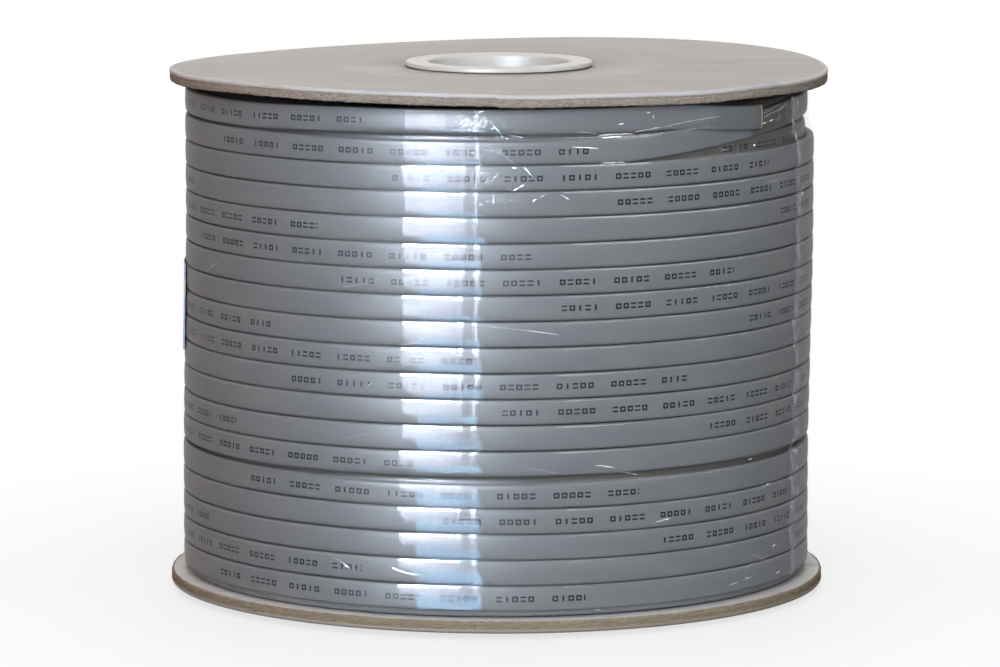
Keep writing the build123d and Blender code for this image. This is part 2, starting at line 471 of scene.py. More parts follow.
# the lower board's core: the same greyboard with painted warm bounce light
boardWithPaintedBounce = coreMaterial("greyboardCorePaintedBounce", board["lowerCore"], board["lowerCoreLight"])
darkLowerLip = plainMaterial("lowerBoardLipBrown", board["lowerLipTone"], 0.8)
stretchFilm = filmMaterial()
hazyFilm = hazyFilmMaterial()
gatheredFilm = gatheredFilmMaterial()
creasedFilm = creaseMaterial()
print("board and film materials made")


winding = {
    "width": 6.76,           # from one turn to the next
    "cableWidth": 6.5,
    "thickness": 2.4,
    "edgeRadius": 0.65,
    "jitter": 0.07,
    "crown": 0.10,
    "rows": 19,
    "topGap": 1.2,
    "topSag": 1.0,           # the first turn sags this far, and then closes on the second
    "topClose": 0.9,
    "slackGap": 1.1,
    "slackRow": 14,
    "slackSag": 0.55,
    "slackLift": 0.35,
    "levelReach": 144.0,
    "riseStart": 24.0,
    "riseEnd": 130.0,
    "riseSag": 0.9,
    "sink": 1.8,
    "sinkEnd": 50.0,
    "endAngle": 54.0,
    "endBevel": 0.35,
    "sagStart": 30.0,
    "endSag": 2.0,
    "frontSlope": 0.65,      # a turn is this much higher at the right side than at the front
    "step": 2.0,
    "lowerTurns": 18,
    "lowerPitch": 6.858,
    "lowerStep": 3.6,
    "lowerSlope": 0.6,
    "lowerDrop": 2.0,        # the layer below stops short of the upper board
    "lowerTurnLength": 519.0,
    "lowerPerDegree": 1.45,
    "footBulge": 1.0,
    "backStretch": 1.29,
    "innerGap": 0.3,
    "grooveDepth": 0.5,
}
backArc = 360 - 2 * winding["levelReach"]
outerRadius = reel["woundRadius"]
lowerRadius = outerRadius - winding["thickness"]


# The winding stands a little to the left at its foot.
def leanAt(z):
    return 0.25 - 1.05 * ramp(z, 105, 30)


def placeWound(angle, radius, height):
    p = place(angle, radius, height)
    return Vector((p.x + leanAt(height) * mm, p.y, p.z))


def rowTop(row):
    if row <= 1:
        return reel["windTop"]
    drop = winding["topGap"] + (row - 1) * winding["width"]
    return reel["windTop"] - drop - (winding["slackGap"] if row > winding["slackRow"] else 0)


# The turns climb gently to the right, and the back takes it up.
def frontTilt(angle):
    return winding["frontSlope"] * max(min(angle, 90.0), -90.0) / 90


# Outer radius and top height of the outer layer at a row and an angle.
def outerTurn(row, angle):
    radius, top = levelTurn(row, angle)
    turn = row * 7.3
    radius += winding["jitter"] * wobble(angle / 30, turn)
    top += winding["jitter"] * wobble(angle / 22, turn + 3)
    return radius, top


def levelTurn(row, angle):
    w = winding
    s = ramp(angle, w["levelReach"], w["levelReach"] + backArc)
    radius = outerRadius
    if row > w["rows"]:                       # coming up from the layer below
        low = reel["windBottom"] + w["width"]
        return lowerRadius + s * w["thickness"], low + s * (rowTop(w["rows"]) - low)
    if row == 2 and angle > w["riseStart"]:   # climbing beside the cut end
        u = min((angle - w["riseStart"]) / (w["riseEnd"] - w["riseStart"]), 1.0)
        top = rowTop(2) + (rowTop(1) - rowTop(2)) * math.sin(u * math.pi / 2)
        radius -= w["sink"] * (ramp(angle, w["riseStart"], w["sinkEnd"]) - s)
        top -= w["riseSag"] * ramp(angle, 60, 130)
        return radius, top + frontTilt(angle) * (1 - ramp(angle, 60, 144))
    top = rowTop(row) + s * (rowTop(row - 1) - rowTop(row))
    if row == 1:                              # closed on the second turn at the left, apart from it in front
        top -= w["topSag"] - w["topClose"] * ramp(angle, -58, -22)
        top -= w["endSag"] * ramp(angle, w["sagStart"], w["endAngle"])
        return radius, top + 0.4 * frontTilt(angle) * (1 - ramp(angle, 0, 40))
    if row > w["slackRow"]:
        sag = w["slackSag"] * ramp(angle, -40, 25) * (1 - ramp(angle, 60, 120))
        top -= sag - w["slackLift"] * (1 - ramp(angle, -70, 0)) * ramp(angle, -170, -120)
    top += frontTilt(angle) * (1 - s) * ramp(angle, -w["levelReach"], -90)
    return radius, top


# (inward, down) points of the cable's section, from its outer top corner round.
def turnSection(points=4):
    w, c = winding, winding["edgeRadius"]
    top = (w["width"] - w["cableWidth"]) / 2
    bottom = top + w["cableWidth"]
    section = []
    for i in range(points + 1):               # upper outer corner
        a = math.radians(90 * (1 - i / points))
        section.append((c - c * math.cos(a), top + c - c * math.sin(a)))
    for i in range(1, 6):                     # the crowned face
        t = i / 6
        section.append((-w["crown"] * 4 * t * (1 - t), top + c + (w["cableWidth"] - 2 * c) * t))
    for i in range(points + 1):
        a = math.radians(90 * i / points)
        section.append((c - c * math.cos(a), bottom - c + c * math.sin(a)))
    section += [(w["thickness"] - c, bottom), (w["thickness"], bottom - c)]
    section += [(w["thickness"], top + c), (w["thickness"] - c, top)]
    return section


# stations are (angle, radius, top, along). The cable's section is drawn through them.
def strandMesh(stations, section):
    points, uvs = [], []
    for angle, radius, top, along in stations:
        for inward, down in section:
            points.append(placeWound(angle, radius - inward, top - down))
            across = down - winding["width"] / 2
            face = 0.0 if inward < winding["thickness"] / 2 else 50.0      # no marks on the far face
            uvs.append((along / 1000, (across + face) / 1000))
    size = len(section)
    faces = joinRings(len(stations), size)
    faces.append(tuple(range(size)))
    faces.append(tuple(range(len(points) - 1, len(points) - size - 1, -1)))
    return points, faces, uvs


# Millimetres along the cable, a little more than the front's arc for each turn.
def alongAt(row, angle):
    w = winding
    perDegree = outerRadius * math.pi / 180
    reach = w["levelReach"]
    level = min(angle, reach) + reach
    back = max(angle - reach, 0.0) * w["backStretch"]
    turnLength = 2 * reach + backArc * w["backStretch"]
    return ((w["rows"] - row) * turnLength + level + back) * perDegree


def outerStations():
    w = winding
    stations = []
    reach = w["levelReach"]
    for row in range(w["rows"] + 1, 0, -1):
        start = reach if row > w["rows"] else -reach
        end = w["endAngle"] if row == 1 else 360 - reach
        angles = stepsBetween(start, end, w["step"])
        for angle in angles[(1 if stations else 0):]:
            radius, top = outerTurn(row, angle)
            if row == 2 and angle > 360 - reach - 0.01:
                top = outerTurn(1, -reach)[1]
            stations.append((angle, radius, top, alongAt(row, angle)))
    # the cut end, its outer edge drawn in a little by the blade
    angle, radius, top, along = stations[-1]
    stations.append((angle + 0.6, radius - w["endBevel"], top - 0.05, along + 1))
    return stations


# The layer below, wound down the reel, which shows in the gaps.
def lowerStations():
    w = winding
    stations = []
    reach = w["levelReach"]
    bottom = reel["windBottom"] + w["width"]
    last = w["lowerTurns"] - 1
    for turn in range(last, -1, -1):
        for angle in stepsBetween(-reach, 360 - reach, w["lowerStep"])[(1 if stations else 0):]:
            s = ramp(angle, reach, 360 - reach) if turn else 0.0
            level = max(min(angle, 90), -90) / 90
            top = bottom + (turn - s) * w["lowerPitch"]
            top -= w["lowerSlope"] * level * ramp(turn, 0, 2) * (1 - s) * ramp(angle, -reach, -90)
            cover = 1 - ramp(angle, 20, 50) * (1 - ramp(angle, 200, 260))
            top -= w["lowerDrop"] * ramp(turn - s, last - 2, last) * cover
            radius = lowerRadius + w["footBulge"] * (1 - ramp(turn - s, 0, 1))
            along = 60 + (last - turn) * w["lowerTurnLength"] + angle * w["lowerPerDegree"]
            stations.append((angle, radius, top, along))
    return stations


# The layers further in, down to the core, as one profile with a groove for each turn.
def innerProfile():
    edge = lowerRadius - winding["thickness"] + winding["innerGap"]
    low, high = reel["windBottom"] + 0.1, reel["windTop"] - 0.1 - winding["lowerDrop"]
    grooves = stepsBetween(low + 1, high - 1, winding["width"] / 2)[1:-1]
    profile = [(reel["coreRadius"], low), (edge - 1, low), (edge, low + 1)]
    profile += [(edge - (winding["grooveDepth"] if i % 2 else 0.0), z) for i, z in enumerate(grooves)]
    return profile + [(edge, high - 1), (edge - 1, high), (reel["coreRadius"], high)]


def buildWinding():
    w = winding
    # the second turn gets a painted shadow where it climbs past the cable's end
    climbing = (alongAt(2, w["endAngle"]), alongAt(2, film["endAngle"]))
    jacketPvc = jacketMaterial("extrudedPvcJacket", jacket["colour"], jacket["dust"], climbing)
    # the layers below and further in: the jacket darkened as painted shade
    paintedShadePvc = jacketMaterial("pvcJacketInPaintedShade", jacket["belowPaintedShadeColour"], jacket["belowDustInPaintedShade"])
    cutPvc = plainMaterial("cutPvc", jacket["cutColour"], 0.5, mottleSize=0.4)
    section, lowerSection, profile = turnSection(), turnSection(points=2), innerProfile()
    outer, lower = strandMesh(outerStations(), section), strandMesh(lowerStations(), lowerSection)
    inner = lathe(lambda angle: profile, 90)
    inner += ([(0.0, 0.05)] * len(inner[0]),)
    points, faces, uvs = [], [], []
    for morePoints, moreFaces, moreUvs in (outer, lower, inner):
        faces += [tuple(i + len(points) for i in face) for face in moreFaces]
        points += morePoints
        uvs += moreUvs
    cutFaces = len(section) + 2                                        # the last stretch and the caps
    footFaces = round(360 / w["lowerStep"]) * len(lowerSection) + 2    # the layer below has no painted shade at its foot
    kinds = [0] * (len(outer[1]) - cutFaces) + [2] * cutFaces
    kinds += [1] * (len(lower[1]) - footFaces) + [0] * footFaces + [1] * len(inner[1])
    makePiece("cableWinding", points, faces, [jacketPvc, paintedShadePvc, cutPvc], uvs,
              faceMaterials=kinds, replaced=["cable_winding"])


buildWinding()
print("cable wound")


# A slight twist: the upper board lifts at the front left and the back right.
def boardWarp(angle, radius, upper):
    b = board
    front = ramp(-math.cos(math.radians(angle)), -0.4, 0.4)     # 0 at the front, 1 at the back
    size = b["warpFront"] + (b["warpBack"] - b["warpFront"]) * front if upper else b["warpBelow"]
    lift = 0.0
    if upper:                                                   # its front edge stands off the cable
        held = sum(math.exp(-((angle - spot) / b["heldWidth"]) ** 2) for spot in b["heldAt"])
        lift = ramp(math.cos(math.radians(angle)), 0.3, 0.72) * (1 - b["heldShare"] * held) * b["frontLift"]
    turn = -math.sin(math.radians(2 * angle))
    return (size * turn + lift) * (radius / reel["radius"]) ** 2


# Outline from the hole's inner-side corner, out along the inner face, round the edge and back.
# Its stretches are the inner face, the torn foot of the edge, the bare core, the skin rolled
# over it and the outer face.
def boardProfile(angle, upper):
    thickness = reel["top"] - reel["ceiling"]
    hole = bushingOuter + 0.1
    edge = reel["radius"] - 0.02
    lip, c, tear = board["lipHeight"], board["lipRadius"], board["tear"]
    a = angle / 360 * 2 * math.pi
    ringX, ringY = math.cos(a) * 14, math.sin(a) * 14

    def rough(scale, seed):
        return wobble(ringX * scale, ringY * scale, seed)

    lipLine = thickness - (lip + 0.12 * rough(2.2, 1) + 0.08 * rough(6, 2))
    inner = [(hole, 0.0), (45.0, 0.0), (70.0, 0.0), (edge - 3.5, 0.0), (edge - 1.3, 0.0)]
    foot = [
        (edge - 0.7 + tear * rough(5, 3), 0.02 + 0.5 * tear * rough(7, 4)),
        (edge - 0.28 + tear * rough(8, 5), -0.05 + tear * rough(6, 6) + 0.12 * rough(16, 7)),
        (edge - 0.16 + tear * rough(9, 8), 0.32 + 0.10 * rough(8, 9)),
    ]
    core = [
        (edge - 0.10 + 0.5 * tear * rough(9, 10 + i), 0.32 + (lipLine - 0.5) * (i + 1) / 4)
        for i in range(4)
    ]
    skin = [(edge - 0.05, lipLine), (edge, lipLine + 0.08)] + [
        (edge - c * drawnIn, thickness - c * down)
        for drawnIn, down in ((0.0, 0.75), (0.12, 0.42), (0.36, 0.14), (0.75, 0.025), (1.2, 0.0))
    ]
    outer = [(edge - 4.0, thickness), (70.0, thickness), (45.0, thickness), (hole, thickness)]
    profile = inner + foot + core + skin + outer
    if upper:
        return [(r, reel["ceiling"] + z + boardWarp(angle, r, True)) for r, z in profile]
    # the lower board is the other way up, and sits a little to one side
    shift = board["lowerShift"] * math.sin(math.radians(angle)) + board["lowerTrim"]
    return [
        (r - shift * ramp(r, 60, edge), reel["floor"] - z + boardWarp(angle, r, False)) for r, z in profile
    ]


def boardPiece(name, node, upper):
    steps = 720
    points, faces = lathe(lambda angle: boardProfile(angle, upper), steps)
    if upper:
        materials = [whiteLiner, greyboard, innerLiner, lipLiner]
    else:
        faces = [tuple(reversed(face)) for face in faces]
        materials = [whiteLiner, boardWithPaintedBounce, innerLiner, darkLowerLip]
    kinds = [2] * 5 + [1] * 7 + [3] * 6 + [0] * 4 + [1]       # inner face, edge, skin, outer face, hole
    makePiece(name, points, faces, materials, faceMaterials=kinds * steps, replaced=[node])


# Moulded polystyrene, off-white, glossy where it is clean and a little dusty.
bushing = {
    "colour": "#CFCCC6",
    "dust": "#BFBAB0",
    "roughness": 0.42,
    "ior": 1.59,
    "gloss": 0.15,
    "bore": 19.05,
    "wall": 2.2,
    "rimRadius": (bushingBox[1].x - bushingBox[0].x) / 2 / mm,
    "rimHeight": bushingBox[1].z / mm - reel["top"],
    "shadowGap": 0.28,
    "edgeRound": 0.35,
    "crispAngle": 50.0,
}
bushingOuter = bushing["bore"] + bushing["wall"]


def creamMaterial():
    b = bushing
    values = {"Roughness": b["roughness"], "IOR": b["ior"], "Specular IOR Level": b["gloss"]}
    material, tree, shader = newMaterial("mouldedCreamStyrene", values)
    layColours(tree, shader, b["colour"], [(patches(tree, (7, 7, 3), 0.45, 0.75, most=0.4), b["dust"])])
    ripple = patches(tree, (2, 2, 2), 0.3, 0.7)
    addNode(tree, "Bump", {"Height": ripple, "Distance": 0.015 * mm}, "Normal", shader.inputs["Normal"])
    return material


# The profile runs from the sleeve's foot up the bore, out over the grooved rim and back under it.
def bushingPiece(name, node, upper, material):
    bore, rim, c, gap = bushing["bore"], bushing["rimRadius"], bushing["edgeRound"], bushing["shadowGap"]
    top, foot = bushing["rimHeight"], bushingBox[0].z / mm - reel["top"]
    profile = [
        (bore + 0.5, foot), (bore, foot + 0.6), (bore, top - 0.7), (bore + 0.2, top - 0.25),
        (bore + 0.7, top), (rim - 3.4, top), (rim - 3.25, top - 0.1), (rim - 3.0, top - 0.1),
        (rim - 2.85, top), (rim - c, top), (rim - c * 0.3, top - c * 0.3), (rim, top - c),
        (rim, gap + 0.1), (rim - 0.15, gap), (rim - 1.4, gap), (rim - 1.6, 0.02),
        (bushingOuter, 0.02), (bushingOuter, foot + 0.8), (bushingOuter - 0.6, foot),
    ]
    base, sign = (reel["top"], 1) if upper else (reel["bottom"], -1)
    points, faces = lathe(lambda angle: [(r, base + sign * z) for r, z in profile], 160)
    if upper:
        faces = [tuple(reversed(face)) for face in faces]
    piece = makePiece(name, points, faces, [material], replaced=[node])
    edges = piece.modifiers.new("crisp edges", "EDGE_SPLIT")
    edges.split_angle = math.radians(bushing["crispAngle"])


creamStyrene = creamMaterial()
boardPiece("upperFlange", "upper_flange", True)
boardPiece("lowerFlange", "lower_flange", False)
bushingPiece("upperBushing", "upper_bushing", True, creamStyrene)
bushingPiece("lowerBushing", "lower_bushing", False, creamStyrene)
print("boards and bushings made")


# The same direction as an angle between the start of a row and its end.
def withinTurn(angle):
    return (angle + winding["levelReach"]) % 360 - winding["levelReach"]


# Where the film lies along one upright line: on the turns, dipped at each seam, across the
# gaps. Each height gives its radius, how much the film is stretched over the edge of a turn,
# and how much of its gloss is taken away as painted shade, in a seam and under the upper board.
def filmLine(angle, heights):
    w, f = winding, film
    wrapped = withinTurn(angle)
    reached = min(wrapped, w["endAngle"])
    turns = [outerTurn(row, reached if row == 1 else wrapped) for row in range(1, w["rows"] + 1)]
    tops = [top for radius, top in turns]
    first, foot = tops[0], tops[-1] - w["width"]
    sunk = ramp(wrapped, 40, 56) * (1 - ramp(wrapped, 150, 205)) if wrapped > w["riseStart"] else 0.0
    rise = f["frontRise"] * (1 - ramp(abs(wrapped), 15, 60)) + f["sideRise"]
    ceiling = min(first + rise, reel["ceiling"] - 0.5)
    seam = f["seamDip"] * (0.3 + 0.7 * ramp(wrapped, -2, 14))               # bridged at the left
    taut = 0.1 + 0.8 * ramp(wrapped, 0, 7) * (1 - ramp(wrapped, 26, 34))    # white across the gap
    line = []
    for z in heights:
        z = min(z, ceiling)
        bulge = dip = paintedSeamShade = stretched = 0.0
        for row, (radius, top) in enumerate(turns, 1):
            if top - w["width"] <= z <= top:
                t = (top - z) / w["width"]
                out = 0.0 if radius < outerRadius - 0.5 else radius - outerRadius
                bulge = (f["crown"] + out) * 4 * t * (1 - t)
            if row == 1 or abs(z - top) >= f["seamReach"]:
                continue
            gap = max(tops[row - 2] - w["width"] - top, 0.0)
            depth = seam + (f["gapDip"] - seam) * min(gap, 1.0)
            away = (z - top - gap / 2) / (f["seamHalf"] + gap / 2)
            dip = max(dip, depth * (1 - ramp(abs(away), 0, 1.5)))
            if gap < f["closedGap"]:
                # painted shade: over a closed seam the film's gloss is taken away
                paintedSeamShade = max(paintedSeamShade, ramp(away, -0.3, 0.1) * (1 - ramp(away, 0.9, 1.6)))
                stretched = max(stretched, 1 - ramp(abs(away + 0.75), 0.1, 0.6))
            elif row == 2:
                stretched = max(stretched, taut * (1 - ramp(abs(away), 0.6, 1.1)))
        overRim, belowFoot = ramp(z, first - 0.1, first + 0.9), ramp(z, foot + 0.4, foot - 1.6)
        dip = max(dip, f["rimDip"] * overRim, f["footDip"] * belowFoot)
        if sunk:                              # drawn in over the sunken turn
            dip += (w["sink"] - 0.1) * sunk * ramp(z, rowTop(3) + 1.5, rowTop(3) + 6.5)
        # painted shade: the film's gloss is taken away over the top of the first turn at the left, under the
        # upper board
        shaded = 0.8 * ramp(z, first - 2.3, first - 1.4) + 0.2 * ramp(z, first - 0.2, first + 0.3)
        shaded *= 1 - ramp(wrapped, 0, 20)
        line.append((z, outerRadius + bulge - dip, stretched, f["seamShadeShare"] * paintedSeamShade, shaded))
    return line


def filmHeights(step):
    return stepsBetween(reel["floor"] + film["margin"], reel["ceiling"] - film["margin"], step)


# One ply all the way round; plyAt gives a spot's radius and its two measures in the UV map.
def wrapPly(name, material, columns, step, plyAt, replaced=()):
    heights = filmHeights(step)
    points, uvs = [], []
    for i in range(columns):
        angle = -180 + 360 * i / columns
        for spot in filmLine(angle, heights):
            radius, uv = plyAt(angle, *spot)
            points.append(placeWound(angle, radius, spot[0]))
            uvs.append(uv)
    faces = joinRings(columns, len(heights), around=True, closed=False)
    makePiece(name, points, faces, [material], uvs, replaced=replaced)


def outerPly(angle, z, radius, stretched, paintedSeamShade, shaded):
    ripple = 0.03 * wobble(angle / 4, z / 9) + 0.02 * wobble(angle / 1.3, z / 3, 4)
    return radius + film["clearance"] + ripple, (film["lineWhite"] * stretched, max(0.3 * paintedSeamShade, shaded))


# The ply that lies straight on the cable.
def underPly(angle, z, radius, stretched, paintedSeamShade, shaded):
    return radius + film["hazeClearance"], (0.0, max(paintedSeamShade, shaded))


# The film's free end, which clings beside its own edge and has curled into a bead.
def buildFilmEnd():
    f = film
    heights = filmHeights(0.6)
    start, fine = f["endAngle"], f["endAngle"] + f["fineReach"]
    points, uvs = [], []
    angles = stepsBetween(start, fine, 0.4) + stepsBetween(fine + 0.6, start + f["endReach"], 1.0)
    for angle in angles:
        fromEdge = (angle - start) * f["perDegree"]
        bead = f["beadHeight"] * (1 - ramp(fromEdge, 0.3, 1.6))
        fold = max(0.0, 1 - abs(fromEdge - f["foldPlace"]) / f["foldHalf"])
        for z, radius, *_ in filmLine(angle, heights):
            flutter = f["flutter"] * wobble(z / 6, angle / 9, 8) * (1 - ramp(fromEdge, 0, 14))
            shift = (1.8 * wobble(z / 14, 3.0) + 0.7 * wobble(z / 3, 5.0)) * (1 - ramp(fromEdge, 0, 20))
            over = f["endClearance"] + bead + f["foldHeight"] * fold + flutter
            points.append(placeWound(angle + shift, radius + over, z))
            wide = f["beadWide"] + 1.6 * wobble(z / 2.3, 2.0)
            rucked = f["beadShare"] * (1 - ramp(fromEdge, wide, wide + 1.2))
            rucked *= 0.75 + 0.5 * wobble(z / 1.1, fromEdge, 6)
            glint = f["foldGlint"] * fold * ramp(wobble(z / 3.4, 7.0), -0.1, 0.3)
            uvs.append((max(rucked, glint), 0.0))
    faces = joinRings(len(angles), len(heights), closed=False)
    makePiece("filmEnd", points, faces, [gatheredFilm], uvs)


# Creases in the film. Each is (angle, height, angle, height, bow in mm, width in mm, whiteness
# at its start and at its end).
creases = {
    "lines": [
        (-3.5, 137.0, -2.4, 137.2, 0.0, 0.36, 0.25, 0.2), (-5.1, 135.8, -1.9, 135.0, 0.3, 0.16, 0.05, 0.08),
        (-1.9, 135.0, -0.9, 133.4, 0.1, 0.18, 0.10, 0.14), (-0.9, 133.4, 0.4, 131.1, -0.1, 0.16, 0.2, 0.3),
        (0.8, 131.3, 4.4, 130.1, -0.1, 0.20, 0.5, 0.9), (2.0, 132.2, 4.0, 131.2, 0.1, 0.14, 0.3, 0.5),
        (13.5, 131.6, 17.6, 130.8, 0.1, 0.20, 0.9, 0.5), (12.4, 127.6, 17.3, 127.0, 0.1, 0.24, 0.5, 1.0),
        (-2.6, 128.5, 3.0, 123.1, 0.4, 0.14, 0.15, 0.15), (-0.4, 128.5, 2.8, 123.1, -0.4, 0.14, 0.15, 0.2),
        (2.2, 122.6, 3.0, 122.3, 0.0, 0.28, 0.9, 1.0), (4.2, 122.7, 5.8, 119.9, 0.1, 0.16, 0.6, 0.4),
        (0.8, 117.4, 2.3, 116.4, 0.1, 0.14, 0.3, 0.5), (2.3, 116.4, 4.2, 118.2, 0.0, 0.16, 0.6, 0.3),
        (5.8, 113.8, 6.5, 114.4, 0.0, 0.30, 1.0, 0.8), (6.9, 114.7, 8.1, 115.8, 0.0, 0.22, 0.7, 0.5),
        (10.4, 115.6, 12.2, 114.0, 0.1, 0.18, 0.2, 1.0), (-3.6, 112.9, -2.8, 112.9, 0.0, 0.60, 0.14, 0.10),
        (-1.2, 115.0, -1.0, 112.9, 0.1, 0.30, 0.16, 0.2), (20.8, 133.2, 22.1, 133.2, 0.0, 0.24, 0.5, 0.8),
        (26.4, 135.9, 27.3, 135.9, 0.0, 0.26, 1.0, 1.0), (27.6, 135.4, 27.8, 133.9, 0.0, 0.26, 0.9, 0.6),
        (17.6, 130.4, 24.2, 130.4, 0.2, 0.34, 1.0, 0.8), (18.0, 129.7, 22.0, 129.9, 0.1, 0.22, 0.8, 0.5),
        (24.2, 131.0, 29.5, 131.8, 0.1, 0.28, 1.0, 0.5), (29.5, 131.8, 44.0, 133.6, 0.5, 0.18, 0.35, 0.1),
        (17.8, 123.3, 22.7, 123.1, 0.1, 0.34, 1.0, 0.8), (52.1, 124.8, 52.8, 124.9, 0.0, 0.40, 1.0, 1.0),
        (55.9, 130.2, 57.1, 130.2, 0.1, 0.34, 1.0, 0.9), (58.3, 130.4, 60.0, 130.6, 0.1, 0.30, 1.0, 0.7),
        (42.9, 124.5, 44.9, 124.7, 0.1, 0.30, 0.25, 0.3), (40.5, 126.0, 42.5, 126.4, 0.0, 0.26, 0.15, 0.2),
        (55.2, 132.4, 64.6, 134.6, 0.3, 0.16, 0.25, 0.3), (55.2, 131.4, 64.6, 133.2, 0.4, 0.16, 0.35, 0.3),
        (55.2, 130.0, 63.6, 130.6, 0.3, 0.16, 0.25, 0.3), (61.5, 130.0, 62.4, 133.6, -0.6, 0.20, 0.35, 0.35),
        (62.4, 133.6, 65.4, 134.4, -0.4, 0.20, 0.35, 0.3), (65.4, 134.4, 65.6, 130.0, 0.2, 0.20, 0.35, 0.3),
        (-2.9, 81.6, 10.7, 79.0, 0.2, 0.16, 0.10, 0.9), (52.2, 41.4, 53.4, 41.6, 0.0, 0.28, 0.9, 0.8),
        (17.5, 44.6, 21.5, 43.6, 0.1, 0.28, 0.8, 0.6), (22.0, 42.6, 26.0, 41.2, 0.1, 0.24, 0.6, 0.9),
        (54.2, 32.8, 61.4, 34.1, 0.2, 0.18, 0.25, 0.25), (58.0, 33.7, 58.9, 33.9, 0.0, 0.50, 1.0, 1.0),
        (28.9, 28.3, 32.5, 29.1, 0.15, 0.28, 0.3, 0.6), (59.5, 16.7, 61.0, 16.9, 0.1, 0.34, 0.9, 0.8),
        (46.1, 9.0, 49.0, 9.4, 0.1, 0.50, 0.2, 0.25), (50.0, 9.7, 53.1, 10.0, 0.1, 0.50, 0.25, 0.2),
        (61.0, 9.0, 63.0, 9.4, 0.1, 0.30, 0.5, 0.5), (17.3, 6.6, 19.4, 6.3, 0.0, 0.34, 1.0, 0.8),
    ],
    # crumpled places: (angle, height, spread of each, count, whiteness)
    "crumples": [
        (-4.0, 133.4, 3.6, 2.2, 80, 0.30), (-3.5, 126.2, 3.0, 1.8, 30, 0.22), (-2.2, 119.8, 3.0, 1.8, 34, 0.22),
        (0.2, 130.6, 3.6, 0.8, 26, 0.45), (-0.5, 114.4, 3.0, 1.4, 14, 0.25), (58.0, 132.2, 3.5, 1.2, 12, 0.35),
        (46.0, 125.0, 4.5, 1.0, 10, 0.3), (-4.4, 14.1, 1.6, 0.4, 7, 0.25), (-2.5, 5.3, 2.0, 0.4, 7, 0.25),
    ],
    "seed": 11,
    "strays": 30,
    "strayWidth": 0.18,
    "strayLength": (2, 9),   # degrees
    "crumpleReach": 0.9,     # degrees
    "crumpleTilt": 0.7,
    "crumpleWidth": (0.08, 0.17),
    "step": 0.8,
}


def buildCreases():
    chance = random.Random(creases["seed"])
    draw = chance.uniform
    farthest, steepest = creases["crumpleReach"], creases["crumpleTilt"]
    lines = list(creases["lines"])
    for angle, z, wide, tall, count, white in creases["crumples"]:
        for i in range(count):
            a, b = chance.gauss(angle, wide / 2), chance.gauss(z, tall / 2)
            reach, tilt = draw(-farthest, farthest), draw(-steepest, steepest)
            width, bow = draw(*creases["crumpleWidth"]), draw(-0.2, 0.2)
            whites = white * draw(0.2, 1.0), white * draw(0.1, 1.0)
            lines.append((a, b, a + reach, b + tilt, bow, width, *whites))
    for i in range(creases["strays"]):
        a, b = draw(-180, 180), draw(10, 128)
        reach, tilt = draw(*creases["strayLength"]), draw(-4, 4)
        bow, width = draw(-0.5, 0.5), creases["strayWidth"]
        lines.append((a, b, a + reach, b + tilt, bow, width, draw(0.05, 0.3), draw(0.1, 0.4)))
    perDegree = outerRadius * math.pi / 180
    points, faces, uvs = [], [], []
    for a0, z0, a1, z1, bow, width, whiteStart, whiteEnd in lines:
        run, climb = (a1 - a0) * perDegree, z1 - z0
        length = math.hypot(run, climb)
        acrossAngle, acrossZ = -climb / length / perDegree, run / length
        base, steps = len(points), max(3, round(length / creases["step"]))
        for i in range(steps + 1):
            t = i / steps
            side = bow * 4 * t * (1 - t) + 0.15 * wobble(a0 + t * length / 2, z0)
            half = width / 2 * min(1.0, 0.25 + 4 * t, 0.25 + 4 * (1 - t))     # narrower at its ends
            white = (whiteStart + (whiteEnd - whiteStart) * t) * ramp(min(t, 1 - t), -0.05, 0.08)
            for offset, ridge in ((-half, 0.0), (0.0, 0.5 * half), (half, 0.0)):
                angle = a0 + (a1 - a0) * t + acrossAngle * (side + offset)
                z, radius, *_ = filmLine(angle, [z0 + climb * t + acrossZ * (side + offset)])[0]
                points.append(placeWound(angle, radius + film["creaseClearance"] + ridge, z))
                uvs.append((white, 0.0))
        faces += [tuple(k + base for k in face) for face in joinRings(steps + 1, 3, closed=False)]
    makePiece("filmCreases", points, faces, [creasedFilm], uvs)


wrapPly("stretchFilm", stretchFilm, 300, 0.45, outerPly, replaced=["film_tail"])
wrapPly("filmUnderPly", hazyFilm, 240, 0.85, underPly)
buildFilmEnd()
buildCreases()
print("film wrapped")


# Coated paper, printed: half glossy, with flat fields of colour and pale scuffs.
label = {
    "endAngle": -82.0,
    "sweep": 46.0,
    "curl": 7.0,
    "lift": 0.15,
    "thickness": 0.2,
    "over": 0.3,
    "colour": "#8AA8CC",
    "band": "#C9D3DC",
    "bandMiddle": 0.72,      # in shares of the label's height
    "bandHalf": 0.10,
    "foot": "#6E8CB2",
    "footHeight": 0.16,
    "scuff": "#B4C4D4",
    "roughness": 0.35,
}


def labelMaterial():
    material, tree, shader = newMaterial("printedLabelPaper", {"Roughness": label["roughness"]})
    where = addNode(tree, "SeparateXYZ", {"Vector": addNode(tree, "TexCoord", None, "Object")}, "Z")
    low, high = labelBox[0].z, labelBox[1].z
    up = addNode(tree, "MapRange", {"Value": where, "From Min": low, "From Max": high}, "Result")
    extent = {0: up, 1: label["bandMiddle"], 2: label["bandHalf"]}
    band = addNode(tree, "Math", extent, 0, operation="COMPARE")
    foot = addNode(tree, "Math", {0: up, 1: label["footHeight"]}, 0, operation="LESS_THAN")
    scuffs = patches(tree, (3, 3, 1), 0.55, 0.72, most=0.3)
    layers = [(band, label["band"]), (foot, label["foot"]), (scuffs, label["scuff"])]
    layColours(tree, shader, label["colour"], layers)
    return material


